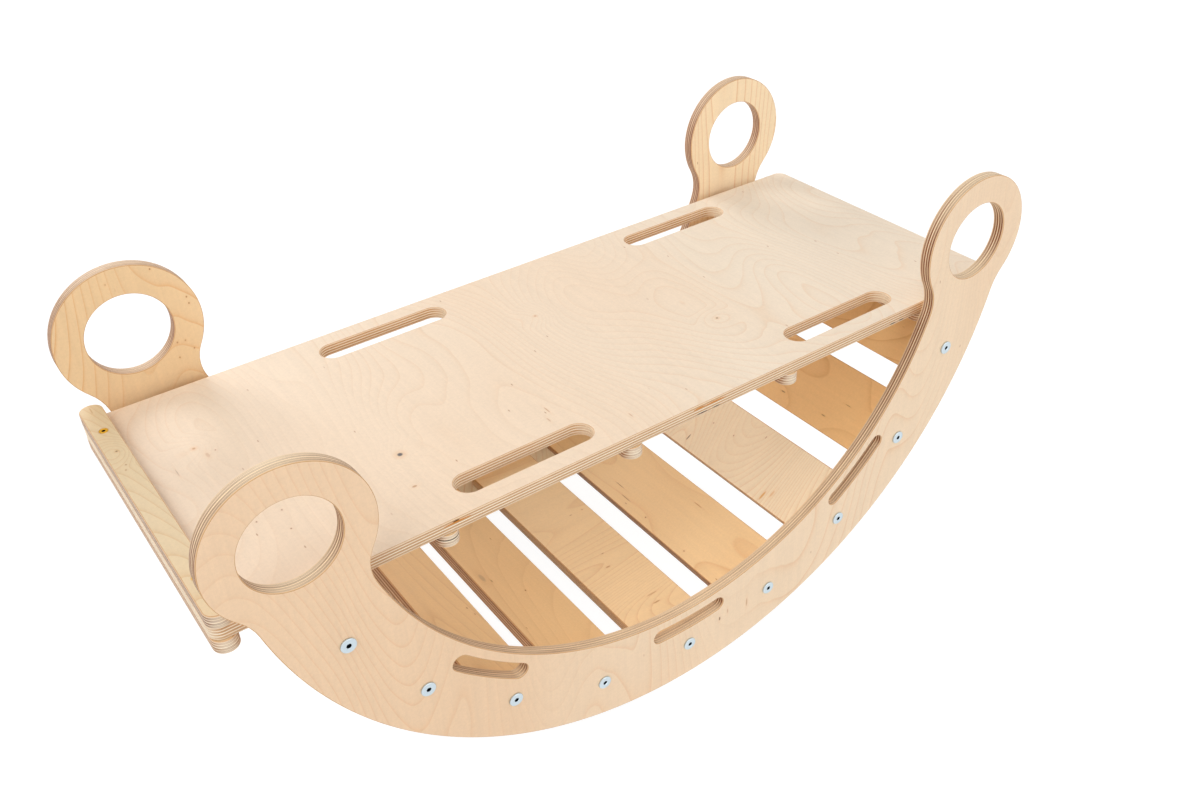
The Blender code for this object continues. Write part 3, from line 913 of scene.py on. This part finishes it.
def bolt_mesh():
    """Bolt along Z, its head resting on the XY plane."""
    rings = [
        round_ring(SHANK_RADIUS - TIP_TAPER, -BOLT_LENGTH),
        round_ring(SHANK_RADIUS, TIP_LENGTH - BOLT_LENGTH),
        round_ring(SHANK_RADIUS, 0),
        round_ring(HEAD_RADIUS - HEAD_RIM, 0),
        round_ring(HEAD_RADIUS, HEAD_RIM),
        round_ring(HEAD_RADIUS, HEAD_HEIGHT - HEAD_BEVEL),
        round_ring(HEAD_RADIUS - HEAD_BEVEL, HEAD_HEIGHT),
        round_ring(SOCKET_ACROSS / 2 + SOCKET_LAND, HEAD_HEIGHT),
        hexagon_ring(SOCKET_ACROSS + SOCKET_CHAMFER, HEAD_HEIGHT),
        hexagon_ring(SOCKET_ACROSS, HEAD_HEIGHT - SOCKET_CHAMFER),
        hexagon_ring(SOCKET_ACROSS, HEAD_HEIGHT - SOCKET_DEPTH + SOCKET_POINT),
        round_ring(POINT_RADIUS, HEAD_HEIGHT - SOCKET_DEPTH),
    ]
    mesh = turned("bolt", rings)
    # Inside the socket, below its chamfer, the faces take the nearly black metal, painted shade for the
    # deep socket.
    for side in mesh.polygons:
        if side.center.xy.length < 0.6 * SOCKET_ACROSS and side.center.z > -SOCKET_DEPTH:
            side.material_index = int(side.center.z < HEAD_HEIGHT - SOCKET_CHAMFER / 2)
    return shaded(mesh, CRISP)


NUT_BEVEL, THREAD_SLACK = 0.0004, 0.0002
KEY_SLOT_WIDTH, KEY_SLOT_DEPTH, KEY_ROUNDING = 0.0012, 0.001, 0.0002


def nut_mesh():
    """Barrel nut along Z, with its thread hole across it and a slot to turn it by."""
    rings = [
        round_ring(NUT_RADIUS - NUT_BEVEL, -NUT_LENGTH / 2),
        round_ring(NUT_RADIUS, NUT_BEVEL - NUT_LENGTH / 2),
        round_ring(NUT_RADIUS, NUT_LENGTH / 2 - NUT_BEVEL),
        round_ring(NUT_RADIUS - NUT_BEVEL, NUT_LENGTH / 2),
    ]
    along = Matrix.Rotation(math.pi / 2, 4, "X")
    hole = rod(SHANK_RADIUS + THREAD_SLACK, -NUT_RADIUS - OVERCUT, NUT_RADIUS + OVERCUT, along)
    key_outline = rounded_bar(2 * (NUT_RADIUS + OVERCUT), KEY_SLOT_WIDTH, KEY_ROUNDING)
    key = plywood("key", key_outline, [], 2 * KEY_SLOT_DEPTH, KEY_ROUNDING)
    key.transform(Matrix.Translation((0, 0, -NUT_LENGTH / 2)))
    return shaded(drilled(turned("nut", rings), [hole, key]), CRISP)


bolt, nut = bolt_mesh(), nut_mesh()
print("Bolt and nut:", len(bolt.polygons), "and", len(nut.polygons), "faces")

# %% Bolts and nuts in place
BOLT_TURN = 0.9
for number, angle in enumerate(slat_angles, start=1):
    for side, end in ((-1, "near"), (1, "far")):
        node = f"bolt_{end}_{number}"
        low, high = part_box(node)
        seat = low.y + HEAD_HEIGHT if side < 0 else high.y - HEAD_HEIGHT
        place = ((low.x + high.x) / 2, seat, (low.z + high.z) / 2)
        own_turn = Matrix.Rotation(number * BOLT_TURN + side, 3, "Z")
        turn = Matrix.Rotation(-side * math.pi / 2, 3, "X") @ own_turn
        name, finishes = f"connector_bolt_{end}_{number}", (white_zinc, socket_shade)
        add(name, bolt.copy(), finishes, place, turn.to_euler(), "rocker", node)
        node = f"barrel_nut_{end}_{number}"
        name, finishes = f"cross_nut_{end}_{number}", (plain_steel, plain_steel)
        add(name, nut.copy(), finishes, middle(node), (0, -angle, 0), "rocker", node)
print("Bolts:", 2 * len(slat_angles), "and as many nuts")

# %% [markdown]
# ## The loose board
#
# The board lies over the end slats and lifts straight off. It has four grip
# slots, a batten on top at one end, and five cleats below, which are bars with
# full-round ends. Its face is a pale cream, and the grain runs across it.

# %% Board drawing and screw holes
board_low, board_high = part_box("board")
board_middle = middle("board")
board_length = board_high.x - board_low.x
board_width = board_high.y - board_low.y
board_thickness = board_high.z - board_low.z
cleat_places = [middle(f"board_cleat_{number}") for number in range(1, 6)]
GRIP_LENGTH, GRIP_WIDTH, GRIP_INSET = 0.133, 0.0265, 0.032
BOARD_CORNER = 0.010
STRAIGHT_REST = 1e-5  # straight bit left in a full-round end, so that no points meet

grips = []
for left, right in ((1, 2), (3, 4)):
    x = (cleat_places[left].x + cleat_places[right].x) / 2 - board_middle.x
    for side in (-1, 1):
        y = side * (board_width / 2 - GRIP_INSET)
        grips.append(rounded_bar(GRIP_LENGTH, GRIP_WIDTH, GRIP_WIDTH / 2 - STRAIGHT_REST, (x, y)))

screw_tops = []
for end in ("near", "far"):
    low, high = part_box(f"batten_screw_{end}")
    screw_tops.append(Vector(((low.x + high.x) / 2, (low.y + high.y) / 2, high.z)))
SCREW_HEAD_RADIUS, SCREW_HEAD_HEIGHT = 0.0038, 0.0026
SCREW_SHANK_RADIUS, SCREW_LENGTH = 0.002, 0.032


def screwed(mesh, place):
    """The piece with room for both screws, from the top batten's face down."""
    cutters = []
    for top in screw_tops:
        rings = [
            round_ring(SCREW_SHANK_RADIUS + DRILL_SLACK, -SCREW_LENGTH - DRILL_SLACK),
            round_ring(SCREW_SHANK_RADIUS + DRILL_SLACK, -SCREW_HEAD_HEIGHT),
            round_ring(SCREW_HEAD_RADIUS + DRILL_SLACK, 0),
            round_ring(SCREW_HEAD_RADIUS + DRILL_SLACK, OVERCUT),
        ]
        cutters.append(turned("countersink", rings, Matrix.Translation(top - Vector(place)), EDGE))
    return drilled(mesh, cutters)


print("Board:", round(board_length, 4), "x", round(board_width, 4), "m with", len(grips), "grips")

# %% Board in place
cream = (shade(246, 229, 207), shade(235, 182, 128), shade(247, 221, 193))
board_figure = (62.0, 0.36, 0.30)
board_marks = (
    knot(-0.3487, 0.0574, 0.0013, 0.5, TAN),
    knot(-0.2147, -0.0589, 0.0021, 0.95, GREY),
    knot(0.1318, -0.0561, 0.0012, 0.6),
    knot(-0.0039, 0.0588, 0.0010, 0.5, TAN),
    speck(-0.3348, 0.0441, 0.5),
    streak(-0.3425, 0.0412, 0.0035, 0.0014, 0.3, TAN),
    streak(-0.3711, 0.0338, 0.0050, 0.0004, 0.3),
    streak(-0.2251, -0.1037, 0.0012, 0.0020, 0.6, TAN),
    speck(-0.3431, -0.0663),
    speck(-0.3216, -0.0649),
    speck(-0.3248, -0.0903),
    streak(-0.0834, -0.0817, 0.0045, 0.0006, 0.5, TAN),
    streak(-0.0904, -0.0949, 0.0030, 0.0006, 0.4, TAN),
    streak(-0.0310, -0.1329, 0.0030, 0.0006, 0.4, TAN),
)
# The near edge has a few orange stains, and small gaps between its plies whose nearly black colour is
# painted shade.
near = -board_width / 2
stains = ((-0.2172, 0.0022, 0.012), (0.0424, 0.0022, 0.012), (0.0253, 0.0024, 0.007))
gaps = (
    (-0.2187, 0.0034, 0.003),
    (0.0283, -0.0036, 0.006),
    (0.0443, -0.0036, 0.004),
    (0.2680, -0.0040, 0.004),
    (0.2800, -0.0040, 0.003),
)
board_stains_and_gap_shade = [((x, near, z), (reach, 0.01, 0.0007), STAIN) for x, z, reach in stains]
board_stains_and_gap_shade += [((x, near, z), (reach, 0.01, 0.0005), GAP_SHADE) for x, z, reach in gaps]
board_face = face_finish("board_face", (2.3, 4.7, 0.9), cream, *board_figure, marks=board_marks)
# The second number is a little painted shade on the pale plies where the cut runs along them.
board_dark_ply, BOARD_SIDE_SHADE = shade(210, 162, 114), 0.02
board_edge = edge_finish(
    "board_edge", (0.4, 1.7, 0.3), True, dark=board_dark_ply, side_shade=BOARD_SIDE_SHADE, marks=board_stains_and_gap_shade
)
board_outline = rounded_bar(board_length, board_width, BOARD_CORNER)
mesh = plywood("board_sheet", board_outline, grips, board_thickness, RIM_ROUNDING)
mesh = shaded(screwed(mesh, board_middle))
finishes = (board_face, board_edge)
add("board_sheet", mesh, finishes, board_middle, (0, 0, 0), "loose_board", "board")
print("Board:", len(mesh.polygons), "faces and", len(board_marks), "marks")

# %% Batten and cleats
bar_low, bar_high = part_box("board_top_batten")
bar_width = bar_high.x - bar_low.x
BAR_ROUNDING = 0.0008
bar_outline = rounded_bar(bar_width, bar_high.y - bar_low.y, bar_width / 2 - STRAIGHT_REST)
bar = plywood("bar", bar_outline, [], bar_high.z - bar_low.z, BAR_ROUNDING)
bar_wood = (shade(231, 209, 173), shade(212, 158, 92), shade(229, 201, 156))
bar_figure = (84.0, 0.16, 0.60)
top_dark_ply = shade(146, 96, 66)
bar_marks = {
    "board_top_batten": (
        knot(0.0, 0.0762, 0.0009, 0.7),
        speck(0.0006, 0.0529, 0.5),
        speck(-0.0016, 0.0458, 0.5),
        streak(0.0001, 0.1496, 0.0050, 0.0005, 0.4, TAN),
    )
}
# Two cleats have a nearly black line of painted shade for a gap between their plies.
bar_gap_shade = {
    "board_cleat_2": [((0, bar_low.y, 0.0012), (0.02, 0.03, 0.0004), GAP_SHADE)],
    "board_cleat_3": [((0.0075, bar_low.y + 0.006, 0.0024), (0.0015, 0.002, 0.0006), GAP_SHADE)],
}
bar_nodes = ["board_top_batten"] + [f"board_cleat_{number}" for number in range(1, 6)]
# The screws reach through the top batten into the first cleat, so only these two are bored.
for number, node in enumerate(bar_nodes):
    place = middle(node)
    mesh = screwed(bar.copy(), place) if number < 2 else bar.copy()
    start = (0.7 + number * 1.9, 2.1 + number * 0.8, 0.1 * number)
    marks = bar_marks.get(node, ())
    face = face_finish(f"bar_face_{number}", start, bar_wood, *bar_figure, marks=marks)
    # The cleats under the board take the lighter default dark plies, painted light against the shade
    # under the board, while the top batten keeps darker ones.
    dark = DARK_PLY if number else top_dark_ply
    edge = edge_finish(f"bar_edge_{number}", start, dark=dark, marks=bar_gap_shade.get(node, ()))
    name = node.replace("board_", "") + "_bar"
    add(name, shaded(mesh), (face, edge), place, (0, 0, 0), "loose_board", node)
print("Bars:", len(bar_nodes))

# %% Batten screws
SCREW_POINT_RADIUS, SCREW_POINT_LENGTH = 0.0003, 0.004
SCREW_RIM_HEIGHT, SCREW_RIM = 0.0002, 0.0001
KEY_ACROSS, KEY_DEPTH, KEY_CHAMFER = 0.003, 0.002, 0.0001
SCREW_TURN = 0.5
rings = [
    round_ring(SCREW_POINT_RADIUS, -SCREW_LENGTH),
    round_ring(SCREW_SHANK_RADIUS, SCREW_POINT_LENGTH - SCREW_LENGTH),
    round_ring(SCREW_SHANK_RADIUS, -SCREW_HEAD_HEIGHT),
    round_ring(SCREW_HEAD_RADIUS, -SCREW_RIM_HEIGHT),
    round_ring(SCREW_HEAD_RADIUS - SCREW_RIM, 0),
    hexagon_ring(KEY_ACROSS + KEY_CHAMFER, 0),
    hexagon_ring(KEY_ACROSS, -KEY_CHAMFER),
    hexagon_ring(KEY_ACROSS, -KEY_DEPTH),
]
screw = turned("screw", rings)
# Inside the key socket, below its chamfer, the faces take the nearly black metal, painted shade for the
# deep socket.
for side in screw.polygons:
    in_socket = side.center.xy.length < 0.6 * KEY_ACROSS
    if in_socket and -1.5 * KEY_DEPTH < side.center.z < -KEY_CHAMFER / 2:
        side.material_index = 1
screw = shaded(screw, CRISP)
for top, end in zip(screw_tops, ("near", "far")):
    name, node = f"countersunk_screw_{end}", f"batten_screw_{end}"
    finishes = (yellow_zinc, socket_shade)
    add(name, screw.copy(), finishes, top, (0, 0, SCREW_TURN), "loose_board", node)
print("Screws:", len(screw_tops))

# %% [markdown]
# ## Camera
#
# The camera stands in front of the left end, nearly 0.9 m above the floor, and
# looks down on the rocker. Its place, heading, drop and roll were worked out
# from the rims of the rings and the edges of the board and the slats. A rotation
# in three steps keeps those numbers readable: turn to the heading, tip down,
# then roll a little.

# %% Camera at the photograph's angle
HEADING, DROP, ROLL = math.radians(55.498), math.radians(34.767), math.radians(-2.3246)
camera = bpy.data.objects.new("camera", bpy.data.cameras.new("camera"))
camera.data.lens = 34.796
camera.data.sensor_width = 36
camera.data.clip_end = 60
camera.location = (-0.5100, -0.7863, 0.8786)
turn = Matrix.Rotation(HEADING - math.pi / 2, 3, "Z")
turn @= Matrix.Rotation(math.pi / 2 - DROP, 3, "X")
turn @= Matrix.Rotation(ROLL, 3, "Z")
camera.rotation_euler = turn.to_euler()
bpy.context.scene.collection.objects.link(camera)
bpy.context.scene.camera = camera
print("Camera:", round(camera.location.length, 2), "m from the middle of the floor")

# %% [markdown]
# ## Floor and light
#
# The rocker stands in a white studio. The floor looks white to the camera and
# still takes a soft shadow: most of what the camera sees is a plain glow, and
# the rest is lit paint, so only a full shadow shows. A large lamp at the left
# gives the forms their shade, a weaker one in front lights the near panel, a
# low one behind shines under the board onto the slats, and a faint one at the
# right keeps that end of the board from going dull. The white world fills the
# rest and is brighter near the horizon, like the walls of a studio. Together
# they are about as strong as daylight, so each colour shows as it was written.

# %% Floor
def seen_directly(recipe):
    """1 for rays that show the floor or the world: to the camera, in metal or through glass."""
    path = recipe.node("LightPath").outputs
    seen = recipe.sum("MAXIMUM", path["Is Camera Ray"], path["Is Glossy Ray"])
    return recipe.sum("MAXIMUM", seen, path["Is Transmission Ray"])


BOUNCE, GLOW, PAINT = 0.85, 0.93, 0.17


def floor_finish():
    made, recipe = new_finish("studio_floor")
    tree = made.node_tree
    tree.nodes.remove(tree.nodes["Principled BSDF"])
    bounce = recipe.node("BsdfDiffuse", {"Color": (BOUNCE, BOUNCE, BOUNCE, 1)}).outputs[0]
    glow = recipe.node("Emission", {"Color": (1, 1, 1, 1), "Strength": GLOW}).outputs[0]
    paint = recipe.node("BsdfDiffuse", {"Color": (PAINT, PAINT, PAINT, 1)}).outputs[0]
    shown = recipe.node("AddShader", {0: glow, 1: paint}).outputs[0]
    mixed = recipe.node("MixShader", {0: seen_directly(recipe), 1: bounce, 2: shown}).outputs[0]
    tree.links.new(mixed, tree.nodes["Material Output"].inputs["Surface"])
    return made


FLOOR_REACH, FLOOR_DROP = 9.0, 0.0002
floor_mesh = bpy.data.meshes.new("studio_floor")
square = ((-1, -1), (1, -1), (1, 1), (-1, 1))
corners = [(x * FLOOR_REACH, y * FLOOR_REACH, -FLOOR_DROP) for x, y in square]
floor_mesh.from_pydata(corners, [], [(0, 1, 2, 3)])
floor_mesh.materials.append(floor_finish())
floor = bpy.data.objects.new("studio_floor", floor_mesh)
bpy.context.scene.collection.objects.link(floor)
print("Floor:", 2 * FLOOR_REACH, "m square")

# %% Lamps and world
LIT_POINT = Vector((0, 0, 0.2))


def lamp(name, toward, distance, size, power):
    """Square lamp that shines on the rocker from a direction."""
    made = bpy.data.objects.new(name, bpy.data.lights.new(name, "AREA"))
    direction = Vector(toward).normalized()
    made.data.size = size
    made.data.energy = power
    made.location = LIT_POINT + direction * distance
    made.rotation_euler = direction.to_track_quat("Z", "Y").to_euler()
    bpy.context.scene.collection.objects.link(made)


lamp("left_lamp", (-0.75, -0.40, 1.12), 3.6, 1.9, 44)
lamp("back_lamp", (-0.15, 1.0, 0.48), 3.2, 1.6, 44)
lamp("front_lamp", (0.3, -1.0, 0.45), 3.5, 2.6, 17)
lamp("right_lamp", (1.0, -0.15, 0.75), 3.2, 2.0, 10)

LOW_SKY, HIGH_SKY, SKY_TOP = 1.25, 0.30, 0.7
world = bpy.data.worlds.new("studio")
world.use_nodes = True
bpy.context.scene.world = world
recipe = Recipe(world.node_tree)
height = recipe.node("SeparateXYZ", {0: recipe.node("TexCoord").outputs["Generated"]}).outputs["Z"]
level = recipe.sum("MULTIPLY_ADD", recipe.fade(height, 0.0, SKY_TOP), HIGH_SKY - LOW_SKY, LOW_SKY)
sky = recipe.node("Background", {"Color": (1, 1, 1, 1), "Strength": level}).outputs[0]
backdrop = recipe.node("Background", {"Color": (1, 1, 1, 1), "Strength": 1.0}).outputs[0]
mixed = recipe.node("MixShader", {0: seen_directly(recipe), 1: sky, 2: backdrop}).outputs[0]
world.node_tree.links.new(mixed, world.node_tree.nodes["World Output"].inputs["Surface"])
bpy.context.scene.view_settings.view_transform = "Standard"
print("Lamps:", len(bpy.data.lights))
